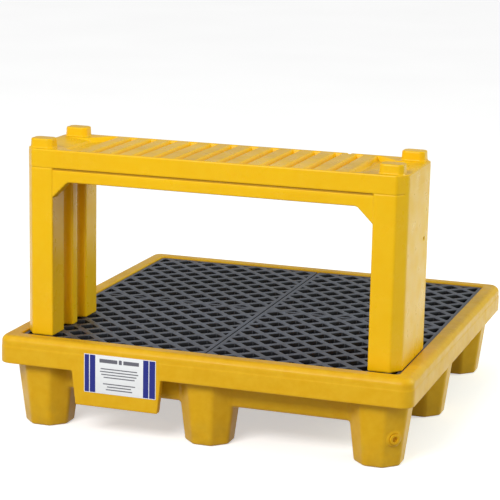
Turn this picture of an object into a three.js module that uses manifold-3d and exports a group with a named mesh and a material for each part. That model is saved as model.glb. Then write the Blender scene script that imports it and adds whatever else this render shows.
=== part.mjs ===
// Four-drum spill containment pallet with two lift-out grates and a bucket shelf.
// Millimetres, +Z up. Origin on the floor under the centre of the pallet, front towards -Y.
import * as THREE from 'three';
import { mergeVertices } from 'three/addons/utils/BufferGeometryUtils.js';
import Module from 'manifold-3d';

const wasm = await Module();
wasm.setup();

// ---- driving dimensions -------------------------------------------------------------------
const GAP = 0.3; // clearance between pieces that rest on or in each other
const OVERCUT = 1; // how far a cutting solid runs past the face it opens

const PALLET_HALF = 673;
const PALLET_HEIGHT = 298;
const WALL = 6;
const RIM_WIDTH = 56;
const RIM_FILLET = 17;
const CORNER_RADIUS = 40;
const SKIRT_BOTTOM = 209;
const FLOOR_UNDERSIDE = 125;
const FLOOR_TOP = FLOOR_UNDERSIDE + WALL;
const BASIN_HALF_BOTTOM = 585;
const BASIN_HALF_TOP = 597;
const BASIN_FILLET = 12;
const RECESS_HALF = PALLET_HALF - RIM_WIDTH;
const RECESS_CORNER = 14;

const LEG_PITCH = 548;
const LEG_HALF_FOOT = 72.5;
const LEG_TAPER = 24 / 205; // growth of the leg's half-width for each millimetre of height
const LEG_FOOT_FILLET = 9;
const LEG_TOP = 294;
const LEG_WELL_FILLET = 3;

const GRATE_TOP = 292;
const GRATE_DEPTH = 30;
const GRATE_EDGE_CLEARANCE = 1;
const SEAM_GAP = 3.5;
const CELL_X = 92;
const CELL_Y = 88;
const HOLE_X = 59;
const HOLE_Y = 55;
const GRATE_BORDER = 13;
const GRATE_CROSS_RIB = 12;
const LEDGE = GRATE_TOP - GRATE_DEPTH - GAP;

const SUPPORT_HALF = 44;
const SUPPORT_FOOT_HALF = 64;
const SUPPORT_FOOT_HEIGHT = 8;
const SUPPORT_WALL = 5;

const TONGUE_BOTTOM = 101;
const TONGUE_TOP_X = [-418, -118];
const TONGUE_BOTTOM_X = [-405, -130];
const TONGUE_DEPTH = 25;
const TONGUE_EDGE = 5; // bevel along the tongue's lower edge
const TONGUE_EDGE_SETBACK = 1.5;
const TONGUE_CORNER = 0.5;
const LABEL_X = [-374, -134];
const LABEL_Z = [147, 271];
const LABEL_THICKNESS = 0.8;

const DRAIN_HEIGHT = 93;
const DRAIN_BOSS_RADIUS = 22;
const DRAIN_BOSS_FACE = 87.4; // distance of the boss's face from the leg's centre line
const DRAIN_BOSS_ROOT = 70;
const DRAIN_BOSS_DRAFT = 2;
const DRAIN_BOSS_BEVEL = 3;
const DRAIN_HOLE_START = 62;
const DRAIN_HOLE_RADIUS = 12.9;
const PLUG_SHANK_RADIUS = 12.5;
const PLUG_SHANK_LENGTH = 20;
const PLUG_HEAD_RADIUS = 17;
const PLUG_HEAD_HEIGHT = 5;
const PLUG_HEAD_BEVEL = 1.5;
const PLUG_TIP_BEVEL = 1;
const PLUG_SOCKET_RADIUS = 8.5;
const PLUG_SOCKET_DEPTH = 9;
const PLUG_SOCKET_DRAFT = 0.5;
const SEAL_OUTER_RADIUS = 15.6;
const SEAL_HEIGHT = 2;

const SHELF_HALF_LENGTH = 614;
const SHELF_FRONT = -600;
const SHELF_BACK = -250;
const SHELF_BOTTOM = GRATE_TOP + GAP;
const SHELF_TOP = 890;
const SHELF_WALL = 5;
const BAND_BOTTOM = 831;
const BEAM_BOTTOM = 789;
const BEAM_THICKNESS = 45;
const BEAM_SETBACK = 3;
const PEDESTAL_THICKNESS = 99;
const SHELF_CHAMFER_X = 29;
const SHELF_CHAMFER_Y = 40;
const GUSSET = 50;
const FLUTE_DEPTH = 28;
const FLUTE_WIDTH = 65;
const FLUTE_OFFSET = 52.5; // centre of each flute from the middle of the pedestal
const DECK_WELL_HALF_LENGTH = 513;
const DECK_RIM = 12;
const DECK_WELL_DEPTH = 16;
const DECK_WELL_DRAFT = 8; // how far each end of the well slopes in towards its floor
const DECK_WELL_CORNER = [65, 62];
const DECK_VALLEY_START = 448; // the end valleys rise from here, between the corner bosses
const DECK_VALLEY_END = 590;
const DECK_VALLEY_HALF_WIDTH = 93;
const RIB_COUNT = 13;
const RIB_PITCH = 69;
const RIB_WIDTH = 44;
const RIB_HEIGHT = 15.5;
const RIB_DRAFT = 7; // how far each side of a rib slopes out towards its root
const RIB_OVERLAP = 2; // how far a rib's ends run into the deck's rims
const STACK_BOSS_HEIGHT = 30;
const STACK_BOSS_X = 562;
const STACK_BOSS_INSET = 42;
const STACK_BOSS_SIZE = [76, 60];
const STACK_BOSS_CORNER = 10;
const STACK_BOSS_DRAFT = 2;
const STACK_BOSS_BEVEL = 4;
const ARCH_OVERLAP = 10; // how far the beams run into the pedestals and the deck
const VENT_RADIUS = 3.5;
const VENT_POSITION = [-344, 658]; // y and z on the right-hand end face
const VENT_CUT_LENGTH = 20;

// ---- materials ----------------------------------------------------------------------------
const plastic = (color, roughness) => new THREE.MeshStandardMaterial({ color, roughness, metalness: 0 });
const yellowPallet = () => plastic(0xe4ac22, 0.5);
const yellowShelf = () => plastic(0xf2c016, 0.45);
const blackGrate = () => plastic(0x2c2d31, 0.6);
const greySupport = () => plastic(0x4a4b4e, 0.65);

// ---- solids from three.js geometry --------------------------------------------------------
function toSolid(source) {
  const geometry = source.index ? source.clone() : source;
  geometry.deleteAttribute('normal');
  geometry.deleteAttribute('uv');
  const merged = mergeVertices(geometry, 1e-4);
  return new wasm.Manifold(new wasm.Mesh({
    numProp: 3,
    vertProperties: new Float32Array(merged.attributes.position.array),
    triVerts: new Uint32Array(merged.index.array),
  }));
}

function toGeometry(solid) {
  const mesh = solid.getMesh();
  const geometry = new THREE.BufferGeometry();
  geometry.setAttribute('position', new THREE.BufferAttribute(new Float32Array(mesh.vertProperties), 3));
  geometry.setIndex(new THREE.BufferAttribute(new Uint32Array(mesh.triVerts), 1));
  geometry.computeVertexNormals();
  return geometry;
}

const union = (solids) => solids.reduce((whole, solid) => whole.add(solid));

// Inset and rise of the point halfway round a small fillet.
const FILLET_MIDDLE = 1 - Math.SQRT1_2;

// A stack of level rings with equal point counts, joined into one closed solid.
function loft(rings) {
  const count = rings[0].points.length;
  const positions = [];
  const index = [];
  for (const ring of rings) {
    for (const point of ring.points) positions.push(point.x, point.y, ring.z);
  }
  for (let level = 0; level + 1 < rings.length; level += 1) {
    for (let i = 0; i < count; i += 1) {
      const a = level * count + i;
      const b = level * count + ((i + 1) % count);
      index.push(a, b, b + count, a, b + count, a + count);
    }
  }
  const top = (rings.length - 1) * count;
  for (let i = 1; i + 1 < count; i += 1) {
    index.push(0, i + 1, i);
    index.push(top, top + i, top + i + 1);
  }
  const geometry = new THREE.BufferGeometry();
  geometry.setAttribute('position', new THREE.Float32BufferAttribute(positions, 3));
  geometry.setIndex(index);
  return toSolid(geometry);
}

function roundedSquare(half, radius, z, steps = 5) {
  const points = [];
  for (let corner = 0; corner < 4; corner += 1) {
    const start = (corner * Math.PI) / 2;
    const signX = corner === 0 || corner === 3 ? 1 : -1;
    const signY = corner < 2 ? 1 : -1;
    for (let i = 0; i <= steps; i += 1) {
      const angle = start + (i * Math.PI) / 2 / steps;
      const x = signX * (half - radius) + radius * Math.cos(angle);
      const y = signY * (half - radius) + radius * Math.sin(angle);
      points.push(new THREE.Vector2(x, y));
    }
  }
  return { points, z };
}

// Level octagon with flat sides facing the axes; half is the distance from centre to side.
function octagon(half, z, centreX = 0, centreY = 0) {
  const points = [];
  const radius = half / Math.cos(Math.PI / 8);
  for (let i = 0; i < 8; i += 1) {
    const angle = Math.PI / 8 + (i * Math.PI) / 4;
    points.push(new THREE.Vector2(centreX + radius * Math.cos(angle), centreY + radius * Math.sin(angle)));
  }
  return { points, z };
}

// Level rectangle with cut corners.
function cutRectangle(xRange, yRange, cutX, cutY, z) {
  const [x0, x1] = xRange;
  const [y0, y1] = yRange;
  const corners = [
    [x1, y0 + cutY], [x1, y1 - cutY], [x1 - cutX, y1], [x0 + cutX, y1],
    [x0, y1 - cutY], [x0, y0 + cutY], [x0 + cutX, y0], [x1 - cutX, y0],
  ];
  return { points: corners.map(([x, y]) => new THREE.Vector2(x, y)), z };
}

function box(xRange, yRange, zRange) {
  const size = [xRange, yRange, zRange].map(([low, high]) => high - low);
  const centre = [xRange, yRange, zRange].map(([low, high]) => (low + high) / 2);
  return toSolid(new THREE.BoxGeometry(...size).translate(...centre));
}

// A solid of revolution about +X, from a profile of (radius, distance along X) points.
function turned(profile, segments = 32) {
  const points = profile.map(([radius, along]) => new THREE.Vector2(radius, along));
  return toSolid(new THREE.LatheGeometry(points, segments).rotateZ(-Math.PI / 2));
}

// A prism along Y from an outline of (x, z) points.
function prismAlongY(outline, yRange) {
  const shape = new THREE.Shape(outline.map(([x, z]) => new THREE.Vector2(x, z)));
  const depth = yRange[1] - yRange[0];
  const geometry = new THREE.ExtrudeGeometry(shape, { depth, bevelEnabled: false });
  return toSolid(geometry.rotateX(Math.PI / 2).translate(0, yRange[1], 0));
}

// ---- pallet body --------------------------------------------------------------------------
const legHalf = (z) => LEG_HALF_FOOT + LEG_TAPER * z;
const legCentres = [];
for (const x of [-LEG_PITCH, 0, LEG_PITCH]) {
  for (const y of [-LEG_PITCH, 0, LEG_PITCH]) legCentres.push([x, y]);
}

function filletRings(half, radius, z0, cornerRadius, steps) {
  const rings = [];
  for (let i = 1; i <= steps; i += 1) {
    const angle = (i * Math.PI) / 2 / steps;
    const inset = radius * (1 - Math.cos(angle));
    rings.push(roundedSquare(half - inset, cornerRadius - inset, z0 + radius * Math.sin(angle)));
  }
  return rings;
}

function rimAndSkirt() {
  const lip = PALLET_HEIGHT - RIM_FILLET;
  const outside = loft([
    roundedSquare(PALLET_HALF, CORNER_RADIUS, SKIRT_BOTTOM),
    roundedSquare(PALLET_HALF, CORNER_RADIUS, lip),
    ...filletRings(PALLET_HALF, RIM_FILLET, lip, CORNER_RADIUS, 3),
  ]);
  const inside = loft([
    roundedSquare(PALLET_HALF - WALL, CORNER_RADIUS - WALL, SKIRT_BOTTOM - OVERCUT),
    roundedSquare(PALLET_HALF - WALL, CORNER_RADIUS - WALL, lip),
    roundedSquare(PALLET_HALF - RIM_FILLET, CORNER_RADIUS - RIM_FILLET, PALLET_HEIGHT - WALL),
  ]);
  return outside.subtract(inside);
}

function basinOutside() {
  const wallTop = LEDGE - WALL;
  const slope = (BASIN_HALF_TOP - BASIN_HALF_BOTTOM) / (LEDGE - FLOOR_TOP);
  const bottomHalf = BASIN_HALF_BOTTOM + WALL;
  const shoulder = BASIN_HALF_TOP + WALL - slope * WALL;
  return loft([
    roundedSquare(bottomHalf - BASIN_FILLET, CORNER_RADIUS, FLOOR_UNDERSIDE),
    roundedSquare(
      bottomHalf - BASIN_FILLET * FILLET_MIDDLE,
      CORNER_RADIUS,
      FLOOR_UNDERSIDE + BASIN_FILLET * FILLET_MIDDLE,
    ),
    roundedSquare(bottomHalf, CORNER_RADIUS, FLOOR_UNDERSIDE + BASIN_FILLET),
    roundedSquare(shoulder, CORNER_RADIUS, wallTop),
    roundedSquare(RECESS_HALF + WALL, RECESS_CORNER + WALL, wallTop),
    roundedSquare(RECESS_HALF + WALL, RECESS_CORNER + WALL, LEG_TOP),
  ]);
}

function legOutside([x, y]) {
  const middle = LEG_FOOT_FILLET * FILLET_MIDDLE;
  return loft([
    octagon(legHalf(0) - LEG_FOOT_FILLET, 0, x, y),
    octagon(legHalf(0) - middle, middle, x, y),
    octagon(legHalf(LEG_FOOT_FILLET), LEG_FOOT_FILLET, x, y),
    octagon(legHalf(LEG_TOP), LEG_TOP, x, y),
  ]);
}

function legWell([x, y]) {
  const top = LEDGE - WALL;
  return loft([
    octagon(legHalf(WALL) - WALL - LEG_WELL_FILLET, WALL, x, y),
    octagon(legHalf(WALL + LEG_WELL_FILLET) - WALL, WALL + LEG_WELL_FILLET, x, y),
    octagon(legHalf(top) - WALL, top, x, y),
  ]);
}

function basinInside() {
  const recess = loft([
    roundedSquare(RECESS_HALF, RECESS_CORNER, LEDGE),
    roundedSquare(RECESS_HALF, RECESS_CORNER, PALLET_HEIGHT + OVERCUT),
  ]);
  const sump = loft([
    roundedSquare(BASIN_HALF_BOTTOM, CORNER_RADIUS - WALL, FLOOR_TOP),
    roundedSquare(BASIN_HALF_TOP, CORNER_RADIUS - WALL, LEDGE + OVERCUT),
  ]);
  return union([recess, sump, ...legCentres.map(legWell)]);
}

// The tongue hangs below the front skirt, flush with it, and is open at the back.
function tongue() {
  const front = -PALLET_HALF;
  const back = front + TONGUE_DEPTH;
  const reach = (z) => (z - TONGUE_BOTTOM) / (SKIRT_BOTTOM - TONGUE_BOTTOM);
  const edges = (z) => TONGUE_BOTTOM_X.map((x, i) => x + (TONGUE_TOP_X[i] - x) * reach(z));
  const ring = (z, inset, y0, y1) => {
    const [x0, x1] = edges(z);
    return cutRectangle([x0 + inset, x1 - inset], [y0, y1], TONGUE_CORNER, TONGUE_CORNER, z);
  };
  const outside = loft([
    ring(TONGUE_BOTTOM, TONGUE_EDGE, front + TONGUE_EDGE_SETBACK, back),
    ring(TONGUE_BOTTOM + TONGUE_EDGE, 0, front, back),
    ring(SKIRT_BOTTOM + WALL, 0, front, back),
  ]);
  const inside = loft([
    ring(TONGUE_BOTTOM + WALL, WALL, front + WALL, back + OVERCUT),
    ring(SKIRT_BOTTOM + WALL + OVERCUT, WALL, front + WALL, back + OVERCUT),
  ]);
  return { outside, inside };
}

// The drain sits on the leg's diagonal facet that faces the front right corner.
const drainFrame = new THREE.Matrix4()
  .makeTranslation(LEG_PITCH, -LEG_PITCH, DRAIN_HEIGHT)
  .multiply(new THREE.Matrix4().makeRotationZ(-Math.PI / 4));

function placedAtDrain(solid) {
  const geometry = toGeometry(solid).applyMatrix4(drainFrame);
  return toSolid(geometry);
}

function drainBoss() {
  return placedAtDrain(turned([
    [0, DRAIN_BOSS_ROOT],
    [DRAIN_BOSS_RADIUS + DRAIN_BOSS_DRAFT, DRAIN_BOSS_ROOT],
    [DRAIN_BOSS_RADIUS + DRAIN_BOSS_DRAFT, DRAIN_BOSS_FACE - DRAIN_BOSS_BEVEL],
    [DRAIN_BOSS_RADIUS, DRAIN_BOSS_FACE],
    [0, DRAIN_BOSS_FACE],
  ]));
}

function drainHole() {
  const seat = DRAIN_BOSS_FACE - SEAL_HEIGHT - GAP;
  return placedAtDrain(turned([
    [0, DRAIN_HOLE_START],
    [DRAIN_HOLE_RADIUS, DRAIN_HOLE_START],
    [DRAIN_HOLE_RADIUS, seat],
    [SEAL_OUTER_RADIUS + GAP, seat],
    [SEAL_OUTER_RADIUS + GAP, DRAIN_BOSS_FACE + OVERCUT],
    [0, DRAIN_BOSS_FACE + OVERCUT],
  ]));
}

function palletBody() {
  const { outside, inside } = tongue();
  const shell = union([rimAndSkirt(), basinOutside(), ...legCentres.map(legOutside), drainBoss(), outside]);
  return shell.subtract(basinInside()).subtract(inside).subtract(drainHole());
}

// ---- grates, supports, label, drain ---------------------------------------------------------
function diamondHole(x, y, z0, z1) {
  const ring = (z) => ({
    points: [[HOLE_X / 2, 0], [0, HOLE_Y / 2], [-HOLE_X / 2, 0], [0, -HOLE_Y / 2]]
      .map(([dx, dy]) => new THREE.Vector2(x + dx, y + dy)),
    z,
  });
  return loft([ring(z0), ring(z1)]);
}

// Diamonds stand in staggered columns; the border and the middle cross rib cut through them.
function grate(side) {
  const z0 = GRATE_TOP - GRATE_DEPTH;
  const reach = RECESS_HALF - GRATE_EDGE_CLEARANCE;
  const span = (low, high) => (side > 0 ? [low, high] : [-high, -low]);
  const deck = loft([
    roundedSquare(reach, RECESS_CORNER, z0),
    roundedSquare(reach, RECESS_CORNER, GRATE_TOP),
  ]);
  const half = [SEAM_GAP / 2, reach + OVERCUT];
  const plate = box(span(...half), [-half[1], half[1]], [z0, GRATE_TOP]).intersect(deck);
  const holes = [];
  const columns = Math.floor(reach / (CELL_X / 2));
  const rows = Math.ceil(reach / CELL_Y);
  for (let column = 0; column <= columns; column += 1) {
    const stagger = column % 2 === 0 ? 0 : CELL_Y / 2;
    for (let row = -rows; row <= rows; row += 1) {
      const x = (side * column * CELL_X) / 2;
      const y = row * CELL_Y + stagger;
      holes.push(diamondHole(x, y, z0 - OVERCUT, GRATE_TOP + OVERCUT));
    }
  }
  const windowX = span(SEAM_GAP / 2 + GRATE_BORDER, reach - GRATE_BORDER);
  const windowY = [GRATE_CROSS_RIB / 2, reach - GRATE_BORDER];
  const windowZ = [z0 - OVERCUT, GRATE_TOP + OVERCUT];
  const windows = union([
    box(windowX, windowY, windowZ),
    box(windowX, [-windowY[1], -windowY[0]], windowZ),
  ]);
  return plate.subtract(wasm.Manifold.union(holes).intersect(windows));
}

// Octagonal tube standing on the floor of a leg well and carrying the grate.
function grateSupport() {
  const bottom = WALL + GAP;
  const top = GRATE_TOP - GRATE_DEPTH - GAP;
  const outside = loft([
    octagon(SUPPORT_FOOT_HALF, bottom),
    octagon(SUPPORT_FOOT_HALF, bottom + SUPPORT_FOOT_HEIGHT),
    octagon(SUPPORT_HALF, bottom + SUPPORT_FOOT_HEIGHT),
    octagon(SUPPORT_HALF, top),
  ]);
  const bore = loft([
    octagon(SUPPORT_HALF - SUPPORT_WALL, bottom - OVERCUT),
    octagon(SUPPORT_HALF - SUPPORT_WALL, top + OVERCUT),
  ]);
  return outside.subtract(bore);
}

function label() {
  const back = -PALLET_HALF - GAP;
  return box(LABEL_X, [back - LABEL_THICKNESS, back], LABEL_Z);
}

function drainPlug() {
  const seat = DRAIN_BOSS_FACE + GAP;
  const face = seat + PLUG_HEAD_HEIGHT;
  return turned([
    [0, seat - PLUG_SHANK_LENGTH],
    [PLUG_SHANK_RADIUS - PLUG_TIP_BEVEL, seat - PLUG_SHANK_LENGTH],
    [PLUG_SHANK_RADIUS, seat - PLUG_SHANK_LENGTH + PLUG_TIP_BEVEL],
    [PLUG_SHANK_RADIUS, seat],
    [PLUG_HEAD_RADIUS, seat],
    [PLUG_HEAD_RADIUS, face - PLUG_HEAD_BEVEL],
    [PLUG_HEAD_RADIUS - PLUG_HEAD_BEVEL, face],
    [PLUG_SOCKET_RADIUS, face],
    [PLUG_SOCKET_RADIUS - PLUG_SOCKET_DRAFT, face - PLUG_SOCKET_DEPTH],
    [0, face - PLUG_SOCKET_DEPTH],
  ]);
}

function drainSeal() {
  const back = DRAIN_BOSS_FACE - SEAL_HEIGHT;
  const inner = PLUG_SHANK_RADIUS + GAP;
  return turned([
    [inner, back],
    [SEAL_OUTER_RADIUS, back],
    [SEAL_OUTER_RADIUS, DRAIN_BOSS_FACE],
    [inner, DRAIN_BOSS_FACE],
    [inner, back],
  ]);
}

// ---- bucket shelf ---------------------------------------------------------------------------
const SHELF_MIDDLE = (SHELF_FRONT + SHELF_BACK) / 2;
const DECK_FLOOR = SHELF_TOP - DECK_WELL_DEPTH;
const CAVITY_TOP = DECK_FLOOR - SHELF_WALL;

// Mirrors a range given for the right-hand end to the left-hand end.
const onSide = (side, low, high) => (side > 0 ? [low, high] : [-high, -low]);

function pedestal(side, inset) {
  const outer = SHELF_HALF_LENGTH;
  const inner = outer - PEDESTAL_THICKNESS;
  const yRange = [SHELF_FRONT + inset, SHELF_BACK - inset];
  const block = box(
    onSide(side, inner + inset, outer),
    yRange,
    [SHELF_BOTTOM + inset, inset > 0 ? CAVITY_TOP : SHELF_TOP],
  );
  const flutes = [-1, 1].map((end) => {
    const centre = SHELF_MIDDLE + end * FLUTE_OFFSET;
    const half = FLUTE_WIDTH / 2 + inset;
    return box(
      onSide(side, inner - OVERCUT, inner + FLUTE_DEPTH + inset),
      [centre - half, centre + half],
      [SHELF_BOTTOM - OVERCUT, BEAM_BOTTOM + inset],
    );
  });
  return block.subtract(union(flutes));
}

// A level beam under the deck, joining the two pedestals.
function beam(yRange, inset) {
  const reach = SHELF_HALF_LENGTH - PEDESTAL_THICKNESS + ARCH_OVERLAP;
  return box(
    [-reach, reach],
    [yRange[0] + inset, yRange[1] - inset],
    [BEAM_BOTTOM + inset, BAND_BOTTOM + ARCH_OVERLAP],
  );
}

// A beam with the gussets that brace it against the pedestals.
function arch(yRange) {
  const inner = SHELF_HALF_LENGTH - PEDESTAL_THICKNESS;
  const gussets = [-1, 1].map((side) => prismAlongY(
    [
      [side * (inner + ARCH_OVERLAP), BEAM_BOTTOM + ARCH_OVERLAP],
      [side * (inner - GUSSET - ARCH_OVERLAP), BEAM_BOTTOM + ARCH_OVERLAP],
      [side * (inner - GUSSET), BEAM_BOTTOM],
      [side * inner, BEAM_BOTTOM - GUSSET],
      [side * (inner + ARCH_OVERLAP), BEAM_BOTTOM - GUSSET],
    ],
    yRange,
  ));
  return union([beam(yRange, 0), ...gussets]);
}

function stackBoss(side, end, inset) {
  const x = side * STACK_BOSS_X;
  const y = end < 0 ? SHELF_FRONT + STACK_BOSS_INSET : SHELF_BACK - STACK_BOSS_INSET;
  const ring = (z, shrink) => {
    const halfX = STACK_BOSS_SIZE[0] / 2 - shrink - inset;
    const halfY = STACK_BOSS_SIZE[1] / 2 - shrink - inset;
    const corner = STACK_BOSS_CORNER;
    return cutRectangle([x - halfX, x + halfX], [y - halfY, y + halfY], corner, corner, z);
  };
  const top = SHELF_TOP + STACK_BOSS_HEIGHT - inset;
  return loft([
    ring(CAVITY_TOP - OVERCUT, 0),
    ring(top - STACK_BOSS_BEVEL, STACK_BOSS_DRAFT),
    ring(top, STACK_BOSS_DRAFT + STACK_BOSS_BEVEL),
  ]);
}

// The ribbed well, with its corners cut beside the bosses and a shallow valley at each end.
function deckWell() {
  const yRange = [SHELF_FRONT + DECK_RIM, SHELF_BACK - DECK_RIM];
  const ring = (grow, z) => cutRectangle(
    [-DECK_WELL_HALF_LENGTH - grow, DECK_WELL_HALF_LENGTH + grow],
    yRange,
    ...DECK_WELL_CORNER,
    z,
  );
  const well = loft([
    ring(-DECK_WELL_DRAFT, DECK_FLOOR),
    ring(0, SHELF_TOP),
    ring(0, SHELF_TOP + OVERCUT),
  ]);
  const valleys = [-1, 1].map((side) => prismAlongY(
    [
      [side * DECK_VALLEY_START, DECK_FLOOR],
      [side * DECK_VALLEY_END, SHELF_TOP],
      [side * DECK_VALLEY_END, SHELF_TOP + OVERCUT],
      [side * DECK_VALLEY_START, SHELF_TOP + OVERCUT],
    ],
    [SHELF_MIDDLE - DECK_VALLEY_HALF_WIDTH, SHELF_MIDDLE + DECK_VALLEY_HALF_WIDTH],
  ));
  return union([well, ...valleys]);
}

function deckRib(number, inset) {
  const x = (number - (RIB_COUNT - 1) / 2) * RIB_PITCH;
  const top = DECK_FLOOR + RIB_HEIGHT - inset;
  const half = RIB_WIDTH / 2 - inset;
  const root = CAVITY_TOP - OVERCUT;
  const outline = [
    [x - half - RIB_DRAFT, root],
    [x + half + RIB_DRAFT, root],
    [x + half, top],
    [x - half, top],
  ];
  const margin = DECK_RIM - RIB_OVERLAP + 2 * inset;
  return prismAlongY(outline, [SHELF_FRONT + margin, SHELF_BACK - margin]);
}

function cornerCuts() {
  const reach = 60;
  return union([-1, 1].flatMap((side) => [SHELF_FRONT, SHELF_BACK].map((edge) => {
    const inward = edge === SHELF_FRONT ? 1 : -1;
    const x = side * SHELF_HALF_LENGTH;
    const corners = [
      [x - side * SHELF_CHAMFER_X, edge],
      [x, edge + inward * SHELF_CHAMFER_Y],
      [x + side * reach, edge + inward * SHELF_CHAMFER_Y],
      [x + side * reach, edge - inward * reach],
      [x - side * SHELF_CHAMFER_X, edge - inward * reach],
    ];
    const points = corners.map(([px, py]) => new THREE.Vector2(px, py));
    if (THREE.ShapeUtils.area(points) < 0) points.reverse();
    return loft([{ points, z: SHELF_BOTTOM - OVERCUT }, { points, z: SHELF_TOP + OVERCUT }]);
  })));
}

function shelf() {
  const archDepth = [BEAM_SETBACK, BEAM_SETBACK + BEAM_THICKNESS];
  const frontArch = archDepth.map((depth) => SHELF_FRONT + depth);
  const backArch = archDepth.map((depth) => SHELF_BACK - depth).reverse();
  const ribs = [...Array(RIB_COUNT).keys()];
  const corners = [-1, 1].flatMap((side) => [-1, 1].map((end) => [side, end]));
  const full = [-SHELF_HALF_LENGTH, SHELF_HALF_LENGTH];

  const deck = box(full, [SHELF_FRONT, SHELF_BACK], [BAND_BOTTOM, SHELF_TOP]).subtract(deckWell());
  const block = union([
    deck,
    ...ribs.map((number) => deckRib(number, 0)),
    ...[-1, 1].map((side) => pedestal(side, 0)),
    arch(frontArch),
    arch(backArch),
  ]);
  const bosses = union(corners.map(([side, end]) => stackBoss(side, end, 0)));
  const outside = block.subtract(cornerCuts()).add(bosses);

  const cavityX = SHELF_HALF_LENGTH - SHELF_WALL - SHELF_CHAMFER_X;
  const deckCavity = box(
    [-cavityX, cavityX],
    [SHELF_FRONT + SHELF_WALL, SHELF_BACK - SHELF_WALL],
    [BAND_BOTTOM + SHELF_WALL, CAVITY_TOP],
  );
  const ends = union([-1, 1].map((side) => pedestal(side, SHELF_WALL)));
  const sideSkin = union([-1, 1].map((side) => box(
    onSide(side, SHELF_HALF_LENGTH - SHELF_WALL, SHELF_HALF_LENGTH + OVERCUT),
    [SHELF_FRONT - OVERCUT, SHELF_BACK + OVERCUT],
    [SHELF_BOTTOM - OVERCUT, SHELF_TOP + OVERCUT],
  )));
  const cornerSkin = cornerCuts();
  const thickCorner = union([
    cornerSkin,
    cornerSkin.translate([SHELF_WALL, 0, 0]),
    cornerSkin.translate([-SHELF_WALL, 0, 0]),
    cornerSkin.translate([0, SHELF_WALL, 0]),
    cornerSkin.translate([0, -SHELF_WALL, 0]),
  ]);
  const cavity = union([
    deckCavity,
    ends,
    beam(frontArch, SHELF_WALL),
    beam(backArch, SHELF_WALL),
    ...ribs.map((number) => deckRib(number, SHELF_WALL)),
    ...corners.map(([side, end]) => stackBoss(side, end, SHELF_WALL)),
  ]).subtract(sideSkin).subtract(thickCorner);

  const [ventY, ventZ] = VENT_POSITION;
  const vent = toSolid(new THREE.CylinderGeometry(VENT_RADIUS, VENT_RADIUS, VENT_CUT_LENGTH, 16)
    .rotateZ(Math.PI / 2)
    .translate(SHELF_HALF_LENGTH - SHELF_WALL, ventY, ventZ));
  return outside.subtract(cavity).subtract(vent);
}

// ---- assembly -------------------------------------------------------------------------------
const pallet = new THREE.Group();

function addPiece(name, solid, material, parent = pallet) {
  const mesh = new THREE.Mesh(toGeometry(solid), material);
  mesh.name = name;
  parent.add(mesh);
  return mesh;
}

addPiece('pallet_body', palletBody(), yellowPallet());
addPiece('label', label(), plastic(0xe9e9ec, 0.4));
addPiece('left_grate', grate(-1), blackGrate());
addPiece('right_grate', grate(1), blackGrate());

const columnNames = ['left', 'middle', 'right'];
const rowNames = ['front', 'centre', 'back'];
legCentres.forEach(([x, y], i) => {
  const name = `grate_support_${rowNames[i % 3]}_${columnNames[Math.floor(i / 3)]}`;
  addPiece(name, grateSupport(), greySupport()).position.set(x, y, 0);
});

const drain = new THREE.Group();
drain.applyMatrix4(drainFrame);
pallet.add(drain);
addPiece('drain_plug', drainPlug(), yellowPallet(), drain);
addPiece('drain_plug_seal', drainSeal(), plastic(0x1d1d1f, 0.8), drain);

addPiece('bucket_shelf', shelf(), yellowShelf());

export default pallet;
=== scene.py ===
"""Spill containment pallet with a bucket shelf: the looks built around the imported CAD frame.

Shapes are worked out in millimetres, in the row frame, and scaled to metres when a mesh is made.
The two rotomoulded pieces are drawn as distance fields, so every edge has its moulding radius.
"""

import math

import bmesh
import bpy
import numpy as np
import openvdb
from mathutils import Matrix, Vector


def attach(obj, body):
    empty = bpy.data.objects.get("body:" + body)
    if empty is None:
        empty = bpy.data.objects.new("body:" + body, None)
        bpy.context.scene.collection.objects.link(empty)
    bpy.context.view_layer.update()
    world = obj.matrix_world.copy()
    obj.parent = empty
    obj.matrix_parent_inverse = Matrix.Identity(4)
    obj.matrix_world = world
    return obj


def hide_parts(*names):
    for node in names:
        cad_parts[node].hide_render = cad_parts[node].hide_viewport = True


MM = 0.001
ADAPTIVITY = 0.02

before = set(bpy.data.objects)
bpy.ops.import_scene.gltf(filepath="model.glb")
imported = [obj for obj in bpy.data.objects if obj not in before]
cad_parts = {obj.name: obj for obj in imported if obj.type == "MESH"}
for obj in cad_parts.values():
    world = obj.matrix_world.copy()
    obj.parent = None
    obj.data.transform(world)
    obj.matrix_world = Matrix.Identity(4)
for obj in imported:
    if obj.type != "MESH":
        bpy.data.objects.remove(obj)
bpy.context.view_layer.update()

# ---- dimensions, millimetres ----------------------------------------------------------------
PALLET_HALF = 673.0
PALLET_HEIGHT = 298.0
WALL = 6.0
CORNER_RADIUS = 40.0
RIM_FILLET = 17.0
RIM_CHAMFER = 13.0
RIM_EDGE_RADIUS = 5.0
RIM_STEP = 1.4
RIM_STEP_Z = 262.0
SKIRT_BOTTOM = 209.0
FLOOR_UNDERSIDE = 125.0
BASIN_HALF_BOTTOM = 585.0
BASIN_HALF_TOP = 597.0
RECESS_HALF = 617.0
RECESS_CORNER = 14.0
LEDGE = 261.7
LEG_PITCH = 548.0
LEG_HALF_FOOT = 72.5
LEG_TAPER = 24.0 / 205.0
LEG_TOP = 294.0
TONGUE_BOTTOM = 101.0
DRAIN_CENTRE = (548.0, -548.0, 93.0)
DRAIN_BOSS_FACE = 87.4
DRAIN_BOSS_RADIUS = 23.0
DRAIN_BORE = 12.9
DRAIN_SEAL_SEAT = 15.9
GRATE_TOP = 292.0
GRATE_DEPTH = 30.0
SHELF_X = 614.0
SHELF_CHAMFER = (29.0, 40.0)
BOSS_X = 562.0
SHELF_FRONT = -600.0
SHELF_BACK = -250.0
SHELF_MIDDLE = (SHELF_FRONT + SHELF_BACK) / 2
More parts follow.
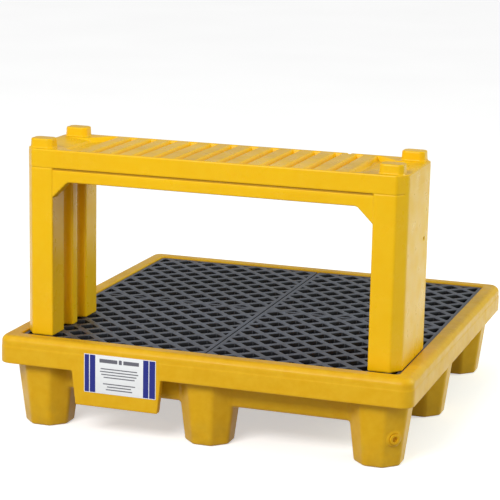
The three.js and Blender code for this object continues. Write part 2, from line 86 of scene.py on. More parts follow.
SHELF_HALF_DEPTH = (SHELF_BACK - SHELF_FRONT) / 2
SHELF_BOTTOM = 292.3
SHELF_TOP = 890.0
BAND_BOTTOM = 831.0
BEAM_BOTTOM = 789.0
PEDESTAL_INNER = 515.0
RIB_PITCH = 69.0
WELL_HALF_LENGTH = 513.0
VENT = (-344.0, 658.0)
VENT_RADIUS = 6.0
NICK_X = 345.0


# ---- distance fields ------------------------------------------------------------------------
def join(a, b, radius=0.0):
    """Union of two fields with a fillet of that radius where their surfaces meet."""
    if radius <= 0:
        return np.minimum(a, b)
    u = np.maximum(radius - a, 0)
    v = np.maximum(radius - b, 0)
    return np.maximum(radius, np.minimum(a, b)) - np.sqrt(u * u + v * v)


def meet(a, b, radius=0.0):
    """Intersection of two fields, its edge rounded."""
    return -join(-a, -b, radius)


def cut(a, b, radius=0.0):
    return meet(a, -b, radius)


def slab(t, low, high):
    return np.abs(t - (low + high) / 2) - (high - low) / 2


def rounded_square(x, y, half, radius):
    qx = np.abs(x) - (half - radius)
    qy = np.abs(y) - (half - radius)
    outer = np.sqrt(np.maximum(qx, 0) ** 2 + np.maximum(qy, 0) ** 2)
    return outer + np.minimum(np.maximum(qx, qy), 0) - radius


def octagon(x, y, half, radius):
    straight = meet(np.abs(x) - half, np.abs(y) - half, 0)
    diagonal = (np.abs(x) + np.abs(y)) * math.sqrt(0.5) - half
    return meet(straight, diagonal, radius)


def sample(field, origin, pitch, points):
    """Trilinear value of a grid at points."""
    q = (points - origin) / pitch
    top = np.array(field.shape) - 1.001
    q = np.clip(q, 0, top)
    i = q.astype(int)
    f = (q - i).astype(np.float32)
    value = np.zeros(len(points), np.float32)
    for corner in range(8):
        step = np.array([corner & 1, corner >> 1 & 1, corner >> 2 & 1])
        weight = np.prod(np.where(step, f, 1 - f), axis=1)
        j = i + step
        value += weight * field[j[:, 0], j[:, 1], j[:, 2]]
    return value


def new_object(name, data):
    piece = bpy.data.objects.new(name, data)
    bpy.context.scene.collection.objects.link(piece)
    return piece


def mesh_from_field(name, shape, low, high, pitch):
    """Meshes shape(x, y, z) = 0 over a box, with the field's own gradient as the normals."""
    axes = [np.arange(a, b + pitch, pitch, dtype=np.float32) for a, b in zip(low, high)]
    y = axes[1][None, :, None]
    z = axes[2][None, None, :]
    band = 3 * pitch
    field = np.empty([len(a) for a in axes], np.float32)
    for start in range(0, len(axes[0]), 32):
        x = axes[0][start:start + 32][:, None, None]
        field[start:start + 32] = np.clip(shape(x, y, z), -band, band)
    grid = openvdb.FloatGrid()
    grid.background = band
    grid.copyFromArray(field)
    points, triangles, quads = grid.convertToPolygons(isovalue=0.0, adaptivity=ADAPTIVITY)
    origin = np.array([a[0] for a in axes])
    points = points * pitch + origin

    gradient = np.empty_like(points)
    reach = 0.5 * pitch
    for axis in range(3):
        step = np.zeros(3)
        step[axis] = reach
        ahead = sample(field, origin, pitch, points + step)
        gradient[:, axis] = ahead - sample(field, origin, pitch, points - step)
    normals = gradient / np.maximum(np.linalg.norm(gradient, axis=1, keepdims=True), 1e-6)
    here = sample(field, origin, pitch, points)
    depth = 1.6 * pitch
    inside = here - sample(field, origin, pitch, points - normals * depth)
    outside = sample(field, origin, pitch, points + normals * depth) - here
    bend = np.clip(1 - inside / depth, 0, 1) - np.clip(1 - outside / depth, 0, 1)

    mesh = bpy.data.meshes.new(name)
    faces = [*triangles.tolist(), *quads.tolist()]
    mesh.from_pydata((points * MM).tolist(), [], faces)
    mesh.shade_smooth()
    # bend kept as the edge attribute, convex positive and concave negative; the rotomoulded material
    # paints an edge highlight and crease shade from it
    edge = mesh.attributes.new("edge", "FLOAT", "POINT")
    edge.data.foreach_set("value", bend.astype(np.float32))
    mesh.normals_split_custom_set_from_vertices(normals.tolist())
    return new_object(name, mesh)


def leg_half(z):
    return LEG_HALF_FOOT + LEG_TAPER * z


def rim_field(x, y, z):
    """The rim with its skirt, hollow underneath."""
    step = RIM_STEP * np.clip((z - RIM_STEP_Z) / 2.5, 0, 1)
    outer = rounded_square(x, y, PALLET_HALF, CORNER_RADIUS) + step
    chamfer = (outer + z - PALLET_HEIGHT + RIM_CHAMFER) * math.sqrt(0.5)
    rim = meet(meet(outer, z - PALLET_HEIGHT, 0), chamfer, RIM_EDGE_RADIUS)
    under = rounded_square(x, y, PALLET_HALF - WALL, CORNER_RADIUS - WALL)
    under = meet(under, z - (PALLET_HEIGHT - WALL), RIM_FILLET - WALL)
    return meet(cut(rim, under, 0), SKIRT_BOTTOM - z, 2.5)


def tongue_field(x, y, z):
    """The tongue under the front skirt, which backs the lower part of the label."""
    reach = (z - TONGUE_BOTTOM) / (SKIRT_BOTTOM - TONGUE_BOTTOM)
    left = -405 - 13 * reach
    right = -130 + 12 * reach
    front = -PALLET_HALF
    sides = np.maximum(left - x, x - right)
    tongue = meet(meet(sides, slab(y, front, front + 25), 2.5), TONGUE_BOTTOM - z, 2.5)
    tongue = meet(tongue, z - (SKIRT_BOTTOM + WALL), 0)
    hollow = meet(meet(sides + WALL, slab(y, front + WALL, front + 40), 2), TONGUE_BOTTOM + WALL - z, 2)
    return cut(tongue, hollow, 1)


def pallet_field(x, y, z):
    # basin and legs
    slope = (BASIN_HALF_TOP - BASIN_HALF_BOTTOM) / (LEDGE - FLOOR_UNDERSIDE - WALL)
    spread = slope * (z - FLOOR_UNDERSIDE - WALL)
    basin = rounded_square(x, y, BASIN_HALF_BOTTOM + WALL + spread, CORNER_RADIUS)
    basin = meet(basin, z - LEDGE, 0)
    shoulder = rounded_square(x, y, RECESS_HALF + WALL, RECESS_CORNER + WALL)
    shoulder = meet(shoulder, slab(z, LEDGE - WALL, LEG_TOP), 0)
    basin = join(basin, shoulder, 8)
    lx = np.abs(x - LEG_PITCH * np.clip(np.round(x / LEG_PITCH), -1, 1))
    ly = np.abs(y - LEG_PITCH * np.clip(np.round(y / LEG_PITCH), -1, 1))
    leg = meet(octagon(lx, ly, leg_half(z), 6), -z, 7)
    leg = meet(leg, z - LEG_TOP, 0)
    basin = meet(basin, FLOOR_UNDERSIDE - z, 12)
    body = join(rim_field(x, y, z), join(basin, leg, 9), 0)
    body = join(body, tongue_field(x, y, z), 0)

    # the drain boss on the front right leg's diagonal facet
    dx = x - DRAIN_CENTRE[0]
    dy = y - DRAIN_CENTRE[1]
    along = (dx - dy) * math.sqrt(0.5)
    across = (dx + dy) * math.sqrt(0.5)
    radial = np.sqrt(across * across + (z - DRAIN_CENTRE[2]) ** 2)
    boss = meet(radial - DRAIN_BOSS_RADIUS, slab(along, 60, DRAIN_BOSS_FACE), 3.5)
    body = join(body, boss, 5)

    # recess for the grates, sump and leg wells
    recess_plan = rounded_square(x, y, RECESS_HALF, RECESS_CORNER)
    recess = meet(recess_plan, LEDGE - z, 3)
    sump = rounded_square(x, y, BASIN_HALF_BOTTOM + spread, CORNER_RADIUS - WALL)
    sump = meet(sump, FLOOR_UNDERSIDE + WALL - z, 6)
    sump = meet(sump, z - LEDGE - 8, 0)
    well = meet(octagon(lx, ly, leg_half(z) - WALL, 4), WALL - z, 5)
    well = meet(well, z - (LEDGE - WALL), 3)
    inside = join(join(sump, well, 5), recess, 4)
    body = meet(body, -inside, 0)
    inner_edge = meet(z - PALLET_HEIGHT, -recess_plan, RIM_EDGE_RADIUS)
    body = np.where(z > LEDGE + 12, meet(inner_edge, body, 0), body)

    drain = meet(radial - DRAIN_BORE, slab(along, 55, DRAIN_BOSS_FACE + 20), 0)
    seat = meet(radial - DRAIN_SEAL_SEAT, slab(along, DRAIN_BOSS_FACE - 2.3, DRAIN_BOSS_FACE + 20), 0)
    return cut(body, join(drain, seat, 0), 0)


def shelf_plan(ax, my):
    """The shelf's outline from above, its corners cut off."""
    plan = meet(ax - SHELF_X, my - SHELF_HALF_DEPTH, 4)
    across, deep = SHELF_CHAMFER
    chamfer = (ax - SHELF_X) * deep + (my - SHELF_HALF_DEPTH) * across + across * deep
    return meet(plan, chamfer / math.hypot(across, deep), 4)


def deck_field(x, ax, my, z, plan):
    """The deck's band, its ribbed well, and the valleys that rise to the ends between the bosses."""
    body = meet(plan, slab(z, BAND_BOTTOM, SHELF_TOP), 4)
    drop = SHELF_TOP - z
    well_x = ax - (WELL_HALF_LENGTH - 0.5 * drop)
    well_y = my - (SHELF_HALF_DEPTH - 12 - 0.25 * drop)
    corner = (well_x / 65 + well_y / 62 + 1) / math.hypot(1 / 65, 1 / 62)
    well = meet(meet(well_x, well_y, 3), corner, 6)
    well = meet(well, SHELF_TOP - 16 - z, 2.5)
    rise = (SHELF_TOP - 16 + (ax - 448) * 16 / 142 - z) / math.hypot(1, 16 / 142)
    valley = meet(meet(my - 93 + 0.4 * drop, ax - 588, 3), rise, 3)
    body = cut(body, join(well, valley, 6), 3.5)
    rx = np.abs(x - RIB_PITCH * np.clip(np.round(x / RIB_PITCH), -6, 6))
    rib = meet(rx - 21.5 + (z - SHELF_TOP) * 0.45, z - (SHELF_TOP - 0.5), 3.5)
    rib = meet(rib, meet(well_y - 2, corner - 2, 0), 0)
    rib = meet(rib, SHELF_TOP - 30 - z, 0)
    return join(body, rib, 3)


def pedestal_field(ax, my, z, plan):
    """The two end pedestals, fluted on their inner faces."""
    pedestal = meet(plan, PEDESTAL_INNER - ax, 5)
    pedestal = meet(pedestal, slab(z, SHELF_BOTTOM, SHELF_TOP - 10), 4)
    flute_y = np.abs(my - 52.5)
    flute = meet(flute_y - 32.5 + (ax - PEDESTAL_INNER) * 0.18, ax - (PEDESTAL_INNER + 28), 8)
    flute = meet(flute, z - BEAM_BOTTOM, 8)
    return cut(pedestal, flute, 6)


def arch_field(ax, my, z):
    """The front and back beams with their corner gussets, set back a little from the band."""
    beam_y = slab(my, SHELF_HALF_DEPTH - 3 - 45, SHELF_HALF_DEPTH - 3)
    gusset = (PEDESTAL_INNER - 50 - ax + BEAM_BOTTOM - z) * math.sqrt(0.5)
    arch = join(BEAM_BOTTOM - z, gusset, 5)
    arch = meet(meet(arch, beam_y, 4), slab(z, BEAM_BOTTOM - 60, BAND_BOTTOM + 12), 0)
    under_band = meet(np.abs(z - BAND_BOTTOM + 2.5) - 2.5, SHELF_HALF_DEPTH - 7 - my, 0)
    arch = cut(arch, under_band, 0.8)
    return meet(arch, ax - (PEDESTAL_INNER + 12), 0)


def stacking_boss_field(ax, my, z):
    bx = np.abs(ax - BOSS_X)
    by = np.abs(my - (SHELF_HALF_DEPTH - 42))
    shrink = (z - SHELF_TOP) * 0.06
    boss = meet(bx - 38 + shrink, by - 30 + shrink, 3)
    boss = meet(boss, (bx + by - 56) * math.sqrt(0.5) + shrink, 3)
    boss = meet(boss, z - (SHELF_TOP + 30), 4)
    return meet(boss, SHELF_TOP - 20 - z, 0)


def shelf_field(x, y, z):
    ax = np.abs(x)
    my = np.abs(y - SHELF_MIDDLE)
    plan = shelf_plan(ax, my)
    body = join(deck_field(x, ax, my, z, plan), pedestal_field(ax, my, z, plan), 2)
    body = join(body, arch_field(ax, my, z), 0)
    body = join(body, stacking_boss_field(ax, my, z), 4)

    # a nick in the back rim of the deck
    nick = meet(np.abs(x - NICK_X) - (z - SHELF_TOP + 8) * 0.8, SHELF_BACK - 16 - y, 0)
    body = cut(body, nick, 1)

    # parting groove under the band on the front and back faces, and the vent hole in the right end
    groove = meet(meet(np.abs(z - BAND_BOTTOM) - 2.0, -(plan + 1.3), 0), ax - (SHELF_X - 10), 0)
    body = cut(body, groove, 0.8)
    vent = np.sqrt((y - VENT[0]) ** 2 + (z - VENT[1]) ** 2) - VENT_RADIUS
    return cut(body, meet(vent, SHELF_X - 16 - x, 0), 1)


# ---- mesh helpers ---------------------------------------------------------------------------
def bridge(bm, upper, lower):
    """Quads between two rings of the same length."""
    for k in range(len(upper)):
        j = (k + 1) % len(upper)
        bm.faces.new((upper[k], upper[j], lower[j], lower[k]))


def solid_from_bmesh(name, bm, smooth_angle, placing=None):
    """A closed piece drawn in millimetres, as an object in metres."""
    bmesh.ops.recalc_face_normals(bm, faces=bm.faces)
    for vert in bm.verts:
        vert.co *= MM
    if placing is not None:
        bm.transform(placing)
    return new_object(name, mesh_from_bmesh(name, bm, smooth_angle))


def mesh_from_bmesh(name, bm, smooth_angle=None):
    mesh = bpy.data.meshes.new(name)
    bm.to_mesh(mesh)
    bm.free()
    if smooth_angle is not None:
        mesh.shade_smooth()
        mesh.set_sharp_from_angle(angle=math.radians(smooth_angle))
    return mesh


# ---- grates ---------------------------------------------------------------------------------
HOLE = (63.0, 59.0)
CELL = (92.0, 88.0)
SEAM = 3.5
BORDER = 13.0
CROSS_RIB = 12.0
GRATE_REACH = RECESS_HALF - 1.0
GRATE_CORNER = 10.0
HOLE_CORNER = 5.0
SMALLEST_HOLE = 260.0


def clip_polygon(points, axis, limit, keep_below):
    """Sutherland-Hodgman against one axis-aligned line."""
    kept = []
    for i, p in enumerate(points):
        q = points[(i + 1) % len(points)]
        dp = limit - p[axis] if keep_below else p[axis] - limit
        dq = limit - q[axis] if keep_below else q[axis] - limit
        if dp >= 0:
            kept.append(p)
        if (dp > 0 > dq) or (dp < 0 < dq):
            t = dp / (dp - dq)
            kept.append(tuple(p[k] + (q[k] - p[k]) * t for k in (0, 1)))
    return kept


def inset_polygon(points, distance):
    """Moves each side of a convex counter-clockwise polygon inwards."""
    count = len(points)
    lines = []
    for i in range(count):
        (ax, ay), (bx, by) = points[i], points[(i + 1) % count]
        length = math.hypot(bx - ax, by - ay)
        nx, ny = -(by - ay) / length, (bx - ax) / length
        lines.append((nx, ny, nx * ax + ny * ay + distance))
    made = []
    for i in range(count):
        n0, n1 = lines[i - 1], lines[i]
        det = n0[0] * n1[1] - n0[1] * n1[0]
        made.append((
            (n0[2] * n1[1] - n0[1] * n1[2]) / det,
            (n0[0] * n1[2] - n0[2] * n1[0]) / det,
        ))
    return made


def rounded_polygon(points, radius, steps=3):
    """Replaces each corner of a convex polygon by an arc-like curve."""
    made = []
    count = len(points)
    for i in range(count):
        p = Vector(points[i])
        a = Vector(points[i - 1]) - p
        b = Vector(points[(i + 1) % count]) - p
        reach = min(radius, a.length * 0.45, b.length * 0.45)
        start = p + a.normalized() * reach
        end = p + b.normalized() * reach
        for k in range(steps + 1):
            t = k / steps
            q = start * (1 - t) ** 2 + p * 2 * t * (1 - t) + end * t * t
            made.append((q.x, q.y))
    return made


def area_of(points):
    total = 0.0
    for i, p in enumerate(points):
        q = points[(i + 1) % len(points)]
        total += p[0] * q[1] - p[1] * q[0]
    return total / 2


def grate_holes():
    """Outlines for the right-hand grate, clipped by its borders and its cross rib."""
    seam_edge = SEAM / 2 + BORDER
    edge = GRATE_REACH - BORDER
    holes = []
    for column in range(0, 14):
        stagger = CELL[1] / 2 if column % 2 else 0.0
        for row in range(-7, 8):
            cx, cy = column * CELL[0] / 2, row * CELL[1] + stagger
            diamond = [
                (cx + HOLE[0] / 2, cy), (cx, cy + HOLE[1] / 2),
                (cx - HOLE[0] / 2, cy), (cx, cy - HOLE[1] / 2),
            ]
            for low, high in ((CROSS_RIB / 2, edge), (-edge, -CROSS_RIB / 2)):
                shape = clip_polygon(diamond, 0, seam_edge, False)
                for axis, limit, below in ((0, edge, True), (1, low, False), (1, high, True)):
                    if shape:
                        shape = clip_polygon(shape, axis, limit, below)
                if len(shape) >= 3 and area_of(shape) > SMALLEST_HOLE:
                    holes.append(shape)
    return holes


def build_grate(name, side):
    bm = bmesh.new()
    outline = [
        (SEAM / 2, -GRATE_REACH), (GRATE_REACH, -GRATE_REACH),
        (GRATE_REACH, GRATE_REACH), (SEAM / 2, GRATE_REACH),
    ]
    sections = ((0.0, 1.6), (0.5, 0.5), (1.6, 0.0), (GRATE_DEPTH - 1, 0.0), (GRATE_DEPTH, 1.0))
    top_loops, bottom_loops = [], []

    def wall(loop, inwards, radius):
        rings = []
        for depth, ease in sections:
            points = rounded_polygon(inset_polygon(loop, inwards * ease), radius)
            rings.append([bm.verts.new((side * px, py, GRATE_TOP - depth)) for px, py in points])
        for upper, lower in zip(rings, rings[1:]):
            bridge(bm, upper, lower)
        top_loops.append(rings[0])
        bottom_loops.append(rings[-1])

    wall(outline, 1, GRATE_CORNER)
    for hole in grate_holes():
        wall(hole, -1, HOLE_CORNER)
    for loops in (top_loops, bottom_loops):
        edges = []
        for loop in loops:
            for i, vert in enumerate(loop):
                other = loop[(i + 1) % len(loop)]
                edges.append(bm.edges.get((vert, other)))
        bmesh.ops.triangle_fill(bm, use_beauty=True, use_dissolve=False, edges=edges)
    return solid_from_bmesh(name, bm, 40)


# ---- turned pieces --------------------------------------------------------------------------
DRAIN_AXIS = Matrix.Translation(Vector(DRAIN_CENTRE) * MM) @ Matrix.Rotation(-math.pi / 4, 4, "Z")


def turned(name, profile, segments=72):
    """A closed solid of revolution about +X of the drain's frame, from (radius, along) points."""
    bm = bmesh.new()
    rings = []
    for radius, along in profile:
        if radius == 0:
            rings.append([bm.verts.new((along, 0, 0))])
            continue
        ring = []
        for k in range(segments):
            angle = 2 * math.pi * k / segments
            ring.append(bm.verts.new((along, radius * math.cos(angle), radius * math.sin(angle))))
        rings.append(ring)
    for a, b in zip(rings, rings[1:]):
        for k in range(segments):
            j = (k + 1) % segments
            corners = [a[k % len(a)], a[j % len(a)], b[j % len(b)], b[k % len(b)]]
            unique = list(dict.fromkeys(corners))
            if len(unique) >= 3:
                bm.faces.new(unique)
    return solid_from_bmesh(name, bm, 35, DRAIN_AXIS)


def arc(radius0, along0, radius1, along1, steps=5):
    """Points round a quarter turn that leaves the first point along the axis."""
    points = []
    for k in range(steps + 1):
        t = math.pi / 2 * k / steps
        points.append((
            radius0 + (radius1 - radius0) * (1 - math.cos(t)),
            along0 + (along1 - along0) * math.sin(t),
        ))
    return points


# ---- materials ------------------------------------------------------------------------------
class Nodes:
    """A short way to write a node tree."""

    def __init__(self, name):
        self.material = bpy.data.materials.new(name)
        self.material.use_nodes = True
        self.tree = self.material.node_tree
        self.tree.nodes.clear()
        self.output = self.tree.nodes.new("ShaderNodeOutputMaterial")
        coordinates = self.tree.nodes.new("ShaderNodeTexCoord")
        self.position = coordinates.outputs["Object"]

    def add(self, kind, inputs=None, **settings):
        node = self.tree.nodes.new(kind)
        for key, value in settings.items():
            setattr(node, key, value)
        for key, value in (inputs or {}).items():
            self.put(node.inputs[key], value)
        return node

    def put(self, socket, value):
        if isinstance(value, bpy.types.NodeSocket):
            self.tree.links.new(value, socket)
        else:
            socket.default_value = value

    def noise(self, scale, detail=2.0, roughness=0.5, vector=None):
        node = self.add("ShaderNodeTexNoise", {
            "Vector": vector or self.position, "Scale": scale, "Detail": detail, "Roughness": roughness,
        })
        return node.outputs["Fac"]

    def span(self, value, low, high, out_low, out_high):
        node = self.add("ShaderNodeMapRange", {
            "Value": value, "From Min": low, "From Max": high, "To Min": out_low, "To Max": out_high,
        })
        return node.outputs["Result"]

    def mix(self, factor, a, b, blend="MIX"):
        node = self.add("ShaderNodeMix", data_type="RGBA", blend_type=blend, clamp_factor=True)
        self.put(node.inputs[0], factor)
        self.put(node.inputs[6], a)
        self.put(node.inputs[7], b)
        return node.outputs[2]

    def math(self, operation, a, b=0.0, clamp=False):
        node = self.add("ShaderNodeMath", operation=operation, use_clamp=clamp)
        self.put(node.inputs[0], a)
        self.put(node.inputs[1], b)
        return node.outputs[0]

    def bump(self, height, distance, strength=1.0, normal=None):
        inputs = {"Height": height, "Distance": distance, "Strength": strength}
        if normal is not None:
            inputs["Normal"] = normal
        return self.add("ShaderNodeBump", inputs).outputs["Normal"]

    def facing_up(self):
        normal = self.add("ShaderNodeNewGeometry").outputs["Normal"]
        return self.add("ShaderNodeSeparateXYZ", {"Vector": normal}).outputs["Z"]

    def principled(self, **inputs):
        node = self.add("ShaderNodeBsdfPrincipled")
        for key, value in inputs.items():
            self.put(node.inputs[key.replace("_", " ")], value)
        self.tree.links.new(node.outputs["BSDF"], self.output.inputs["Surface"])
        return self.material


def rotomoulded(name, colour, deep, pale, roughness, soil, grime, painted_crease_shade):
    """Rotomoulded polyethylene: clouded colour, orange-peel skin, painted highlight on convex edges,
    painted shade in creases, dust low down.
    """
    n = Nodes(name)
    cloud = n.noise(3.5, 3)
    mottle = n.noise(38, 4)
    speck = n.noise(900, 1)
    base = n.mix(n.span(cloud, 0.3, 0.7, 0.0, 0.35), colour, deep)
    base = n.mix(n.span(mottle, 0.35, 0.75, 0.0, 0.25), base, pale)
    base = n.mix(n.span(speck, 0.62, 0.78, 0.0, 0.12), base, deep)
    edge = n.add("ShaderNodeAttribute", attribute_name="edge").outputs["Fac"]
    # painted highlight: convex edges, read from the edge attribute, are mixed towards pale
    painted_edge_highlight = n.math("MULTIPLY", n.span(edge, 0.12, 0.6, 0.0, 0.5), n.span(mottle, 0.3, 0.7, 0.3, 1.0))
    base = n.mix(painted_edge_highlight, base, pale)
    # painted shade: concave creases, read from the edge attribute, are darkened towards brown
    base = n.mix(n.span(edge, -0.1, -0.6, 0.0, painted_crease_shade), base, (0.3, 0.14, 0.01, 1))
    if soil > 0:
        height = n.add("ShaderNodeSeparateXYZ", {"Vector": n.position}).outputs["Z"]
        low = n.span(height, 0.1, 0.0, 0.0, 1.0)
        patchy = n.math("MULTIPLY", low, n.span(n.noise(22, 5), 0.35, 0.75, 0.0, 1.0))
        dirt = n.math("MULTIPLY", patchy, soil)
        base = n.mix(dirt, base, (0.16, 0.1, 0.045, 1))
    up = n.facing_up()
    broad = n.span(n.noise(5, 4), 0.36, 0.66, 0.25, 1.0)
    fine = n.span(n.noise(70, 4), 0.3, 0.7, 0.5, 1.0)
    patches = n.math("MULTIPLY", broad, fine)
    film_of_dirt = n.math("MULTIPLY", n.span(up, 0.7, 0.98, 0.0, grime), patches)
    base = n.mix(film_of_dirt, base, (0.2, 0.105, 0.02, 1))
    skin = n.bump(n.noise(420, 2), 0.00012, 0.5)
    skin = n.bump(n.noise(60, 3), 0.0004, 0.35, skin)
    skin = n.bump(n.noise(7, 2), 0.003, 0.25, skin)
    gloss = n.span(n.noise(16, 4), 0.3, 0.7, roughness - 0.06, roughness + 0.1)
    return n.principled(
        Base_Color=base, Roughness=gloss, Normal=skin, Specular_IOR_Level=0.22,
        Subsurface_Weight=0.06, Subsurface_Radius=(0.006, 0.003, 0.001), Subsurface_Scale=1.0,
    )


def moulded(name, colour, pale, roughness, grain=260.0, deep=0.15):
    """Injection-moulded or foamed plastic with a fine grain, painted shade on its side faces, scuffed
    paler on its top faces only.
    """
    n = Nodes(name)
    scuff = n.noise(46, 5, 0.65)
    up = n.facing_up()
    # painted shade: faces that don't face up get the colour scaled down by deep, the top faces keep it
    side = tuple(c * deep for c in colour[:3]) + (1,)
    base = n.mix(n.span(up, 0.3, 0.95, 0.0, 1.0), side, colour)
    top = n.math("MULTIPLY", n.span(up, 0.55, 1.0, 0.0, 1.0), n.span(scuff, 0.38, 0.72, 0.0, 0.8))
    base = n.mix(top, base, pale)
    skin = n.bump(n.noise(grain, 2), 0.0001, 0.6)
    skin = n.bump(n.noise(30, 3), 0.0004, 0.3, skin)
    gloss = n.span(scuff, 0.3, 0.7, roughness - 0.06, roughness + 0.12)
    return n.principled(Base_Color=base, Roughness=gloss, Normal=skin, Specular_IOR_Level=0.5)


def printed(name, colour, roughness=0.28):
    """Print on a vinyl film: faint unevenness in tone and a slightly rippled gloss."""
    n = Nodes(name)
    tone = n.span(n.noise(55, 4), 0.3, 0.7, 0.0, 0.12)
    base = n.mix(tone, colour, tuple(c * 0.82 for c in colour[:3]) + (1,))
    skin = n.bump(n.noise(24, 2), 0.0004, 0.35)
    gloss = n.span(n.noise(18, 3), 0.3, 0.7, roughness, roughness + 0.14)
    return n.principled(Base_Color=base, Roughness=gloss, Normal=skin, Specular_IOR_Level=0.35)


YELLOW_PALLET = rotomoulded(
    "pallet_polyethylene", colour=(0.8, 0.43, 0.002, 1), deep=(0.66, 0.33, 0.002, 1),
    pale=(0.86, 0.52, 0.02, 1), roughness=0.36, soil=0.3, grime=0.35, painted_crease_shade=0.4)
YELLOW_SHELF = rotomoulded(
    "shelf_polyethylene", colour=(0.93, 0.54, 0.001, 1), deep=(0.82, 0.43, 0.001, 1),
    pale=(0.95, 0.62, 0.02, 1), roughness=0.3, soil=0.0, grime=0.4, painted_crease_shade=0.85)
BLACK_GRATE = moulded("grate_polyethylene", (0.026, 0.031, 0.05, 1), (0.12, 0.14, 0.19, 1), 0.36)
GREY_SUPPORT = moulded("support_polyethylene", (0.03, 0.03, 0.032, 1), (0.06, 0.06, 0.065, 1), 0.55)
SEAL_RUBBER = moulded("seal_rubber", (0.015, 0.015, 0.015, 1), (0.05, 0.05, 0.05, 1), 0.7, 700)
LABEL_WHITE = printed("label_white", (0.9, 0.92, 0.93, 1))
LABEL_BLUE = printed("label_blue", (0.008, 0.016, 0.23, 1))
LABEL_INK = printed("label_ink", (0.14, 0.14, 0.17, 1))


# ---- pieces ---------------------------------------------------------------------------------
def paint(piece, material):
    piece.data.materials.clear()
    piece.data.materials.append(material)


def place(piece, body, slot, material, *nodes):
    paint(piece, material)
    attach(piece, body)
    if nodes:
        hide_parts(*nodes)


PITCH = 3.0
pallet_shell = mesh_from_field(
    "pallet_shell", pallet_field, (-684, -684, -9), (684, 684, 309), PITCH)
place(pallet_shell, "pallet", "yellow_pallet", YELLOW_PALLET, "pallet_body")

SHELF_PITCH = 2.5
shelf_shell = mesh_from_field(
    "shelf_shell", shelf_field, (-625, -610, 281), (625, -240, 931), SHELF_PITCH)
place(shelf_shell, "shelf", "yellow_shelf", YELLOW_SHELF, "bucket_shelf")

for side, body in ((-1, "left_grate"), (1, "right_grate")):
    place(build_grate(body + "_lattice", side), body, "black_grate", BLACK_GRATE, body)

plug_seat = DRAIN_BOSS_FACE + 0.3
plug = turned("plug_turned", [
    (0, plug_seat - 20), (11.5, plug_seat - 20), (12.5, plug_seat - 19), (12.5, plug_seat),
    (17, plug_seat), *arc(17, plug_seat + 3, 15, plug_seat + 5),
    (9.5, plug_seat + 5), *arc(9.5, plug_seat + 5, 8.5, plug_seat + 4)[1:],
    (8.2, plug_seat - 3), (7, plug_seat - 4), (0, plug_seat - 4),
])
place(plug, "plug", "yellow_plug", YELLOW_PALLET, "drain_plug")

seal = turned("seal_turned", [
    (12.8, DRAIN_BOSS_FACE - 1), (13.3, DRAIN_BOSS_FACE - 1.9), (14.2, DRAIN_BOSS_FACE - 2),
    (15.1, DRAIN_BOSS_FACE - 1.9), (15.6, DRAIN_BOSS_FACE - 1), (15.1, DRAIN_BOSS_FACE - 0.1),
    (14.2, DRAIN_BOSS_FACE), (13.3, DRAIN_BOSS_FACE - 0.1), (12.8, DRAIN_BOSS_FACE - 1),
])
place(seal, "plug_seal", "seal_rubber", SEAL_RUBBER, "drain_plug_seal")

for name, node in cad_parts.items():
    if name.startswith("grate_support"):
        paint(node, GREY_SUPPORT)
        bevel = node.modifiers.new("edges", "BEVEL")
        bevel.width = 0.0012
        bevel.segments = 3
        bevel.limit_method = "ANGLE"

# label: a film with two bands and generic bars where the print is
LABEL_BACK = -673.3
LABEL_FACE = -673.95
LABEL_PRINT = -674.08


def film(name, x_range, z_range, front, back, radius):
    """A thin sheet on the front skirt with rounded corners."""
    outline = []
    centres = (
        (x_range[1] - radius, z_range[1] - radius, 0), (x_range[0] + radius, z_range[1] - radius, 1),
        (x_range[0] + radius, z_range[0] + radius, 2), (x_range[1] - radius, z_range[0] + radius, 3),
    )
    for cx, cz, quarter in centres:
        for k in range(5):
            angle = math.pi / 2 * (quarter + k / 4)
            outline.append((cx + radius * math.cos(angle), cz + radius * math.sin(angle)))
    bm = bmesh.new()
    rings = []
    for y, ease in ((back, 0.0), (front + 0.05, 0.0), (front, 0.05)):
        shrink = 1 - ease / 60
        middle = (sum(x_range) / 2, sum(z_range) / 2)
        rings.append([
            bm.verts.new((middle[0] + (px - middle[0]) * shrink, y, middle[1] + (pz - middle[1]) * shrink))
            for px, pz in outline
        ])
    for upper, lower in zip(rings, rings[1:]):
        bridge(bm, upper, lower)
    bm.faces.new(rings[0])
    bm.faces.new(rings[-1])
    return solid_from_bmesh(name, bm, 30)


def joined(name, parts):
    """Several separate meshes as one object."""
    bm = bmesh.new()
    for part in parts:
        bm.from_mesh(part.data)
        bpy.data.objects.remove(part)
    return new_object(name, mesh_from_bmesh(name, bm, 30))


sheet = film("label_film", (-374, -134), (147, 271), LABEL_FACE, LABEL_BACK, 2)
place(sheet, "pallet", "label", LABEL_WHITE, "label")
bands = joined("label_bands", [
    film("band", (x0, x1), (149, 269), LABEL_PRINT, LABEL_FACE, 0.8)
    for x0, x1 in ((-372, -357), (-354.5, -336), (-176, -158), (-155.5, -136))
])
place(bands, "pallet", "label", LABEL_BLUE)
bars = [
    film("bar", (x0, x1), (z0, z1), LABEL_PRINT, LABEL_FACE, 1)
    for x0, x1, z0, z1 in ((-322, -262, 247, 259), (-257, -247, 246, 260), (-242, -190, 247, 259))
]
LINE_STEP = 9
LINE_HEIGHT = 3.4
UPPER_LINES = ((-318, -196), (-320, -192), (-316, -198), (-308, -204))
LOWER_LINES = ((-310, -202), (-296, -216), (-300, -212))
for first_line, lines in ((226, UPPER_LINES), (178, LOWER_LINES)):
    for row, x_range in enumerate(lines):
        z = first_line - LINE_STEP * row
        bars.append(film("bar", x_range, (z, z + LINE_HEIGHT), LABEL_PRINT, LABEL_FACE, 0.5))
place(joined("label_bars", bars), "pallet", "label", LABEL_INK)


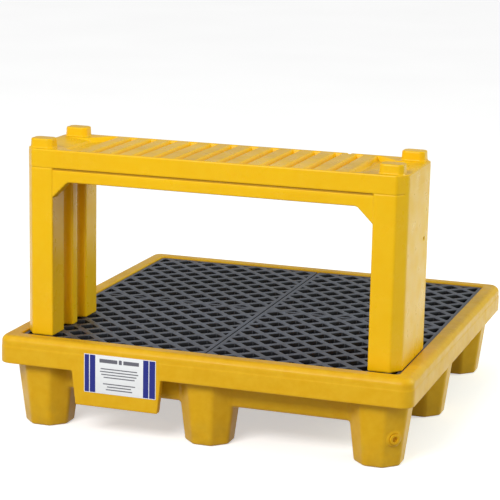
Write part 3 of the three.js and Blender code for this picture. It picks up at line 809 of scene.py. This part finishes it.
# ---- floor, light, camera -------------------------------------------------------------------
def build_floor():
    """Pale paper to the camera and in reflections, darker for the light that it throws back."""
    bm = bmesh.new()
    bmesh.ops.create_grid(bm, x_segments=8, y_segments=8, size=30)
    for vert in bm.verts:
        vert.co.z = -0.0002
    floor = new_object("floor", mesh_from_bmesh("floor", bm))
    n = Nodes("floor_paper")
    rays = n.add("ShaderNodeLightPath").outputs
    seen = n.math("MAXIMUM", rays["Is Camera Ray"], rays["Is Glossy Ray"])
    tone = n.mix(n.span(n.noise(0.8, 2), 0.3, 0.7, 0.0, 1.0), (0.86, 0.86, 0.86, 1), (0.9, 0.9, 0.9, 1))
    tone = n.mix(seen, (0.33, 0.32, 0.31, 1), tone)
    floor.data.materials.append(n.principled(
        Base_Color=tone, Roughness=0.9, Specular_IOR_Level=0.2,
        Emission_Color=(1, 1, 1, 1), Emission_Strength=n.math("MULTIPLY", seen, 0.5)))


def area_light(name, location, target, size, power, colour=(1, 1, 1)):
    data = bpy.data.lights.new(name, "AREA")
    data.shape = "RECTANGLE"
    data.size, data.size_y = size
    data.energy = power
    data.color = colour
    lamp = new_object(name, data)
    lamp.location = location
    lamp.rotation_mode = "QUATERNION"
    lamp.rotation_quaternion = (Vector(target) - Vector(location)).to_track_quat("-Z", "Y")


# the viewpoint: angles in degrees, millimetres from the point 400 above the centre of the floor
CAMERA_ANGLES = (18.50, 12.21, -1.17)
CAMERA_DISTANCE = 6120.98
CAMERA_OFFSET = (57.29, 96.25)
FOCAL_RATIO = 3.62766
SENSOR_WIDTH = 36


def build_camera():
    """The photo's viewpoint, solved from the object's straight edges."""
    yaw, pitch, roll = (math.radians(angle) for angle in CAMERA_ANGLES)
    ahead = Vector((-math.sin(yaw) * math.cos(pitch), math.cos(yaw) * math.cos(pitch), -math.sin(pitch)))
    right = Vector((math.cos(yaw), math.sin(yaw), 0))
    down = ahead.cross(right)
    across = math.cos(roll) * right + math.sin(roll) * down
    below = -math.sin(roll) * right + math.cos(roll) * down
    place_mm = Vector((0, 0, 400)) - ahead * CAMERA_DISTANCE
    place_mm = place_mm - CAMERA_OFFSET[0] * across - CAMERA_OFFSET[1] * below
    data = bpy.data.cameras.new("camera")
    data.sensor_width = SENSOR_WIDTH
    data.lens = FOCAL_RATIO * SENSOR_WIDTH
    data.clip_start = 0.1
    data.clip_end = 100
    camera = new_object("camera", data)
    axes = Matrix((across, -below, -ahead)).transposed().to_4x4()
    camera.matrix_world = Matrix.Translation(place_mm * MM) @ axes
    bpy.context.scene.camera = camera


build_floor()
build_camera()
area_light("key", (4.6, 2.0, 2.6), (0, 0, 0.4), (2.4, 2.4), 118, (0.86, 1.0, 0.84))
area_light("front", (-1.0, -5.4, 4.3), (0, 0, 0.4), (3.2, 2.2), 262)


def build_world():
    """An even studio surround, seen as plain white behind the object."""
    world = bpy.data.worlds.new("world")
    world.use_nodes = True
    tree = world.node_tree
    tree.nodes.clear()
    output = tree.nodes.new("ShaderNodeOutputWorld")
    shown = tree.nodes.new("ShaderNodeBackground")
    shown.inputs["Strength"].default_value = 1.0
    around = tree.nodes.new("ShaderNodeBackground")
    around.inputs["Strength"].default_value = 0.5
    for node in (shown, around):
        node.inputs["Color"].default_value = (1, 1, 1, 1)
    rays = tree.nodes.new("ShaderNodeLightPath")
    blend = tree.nodes.new("ShaderNodeMixShader")
    tree.links.new(rays.outputs["Is Camera Ray"], blend.inputs[0])
    tree.links.new(around.outputs[0], blend.inputs[1])
    tree.links.new(shown.outputs[0], blend.inputs[2])
    tree.links.new(blend.outputs[0], output.inputs["Surface"])
    bpy.context.scene.world = world


build_world()
bpy.context.scene.view_settings.view_transform = "Standard"
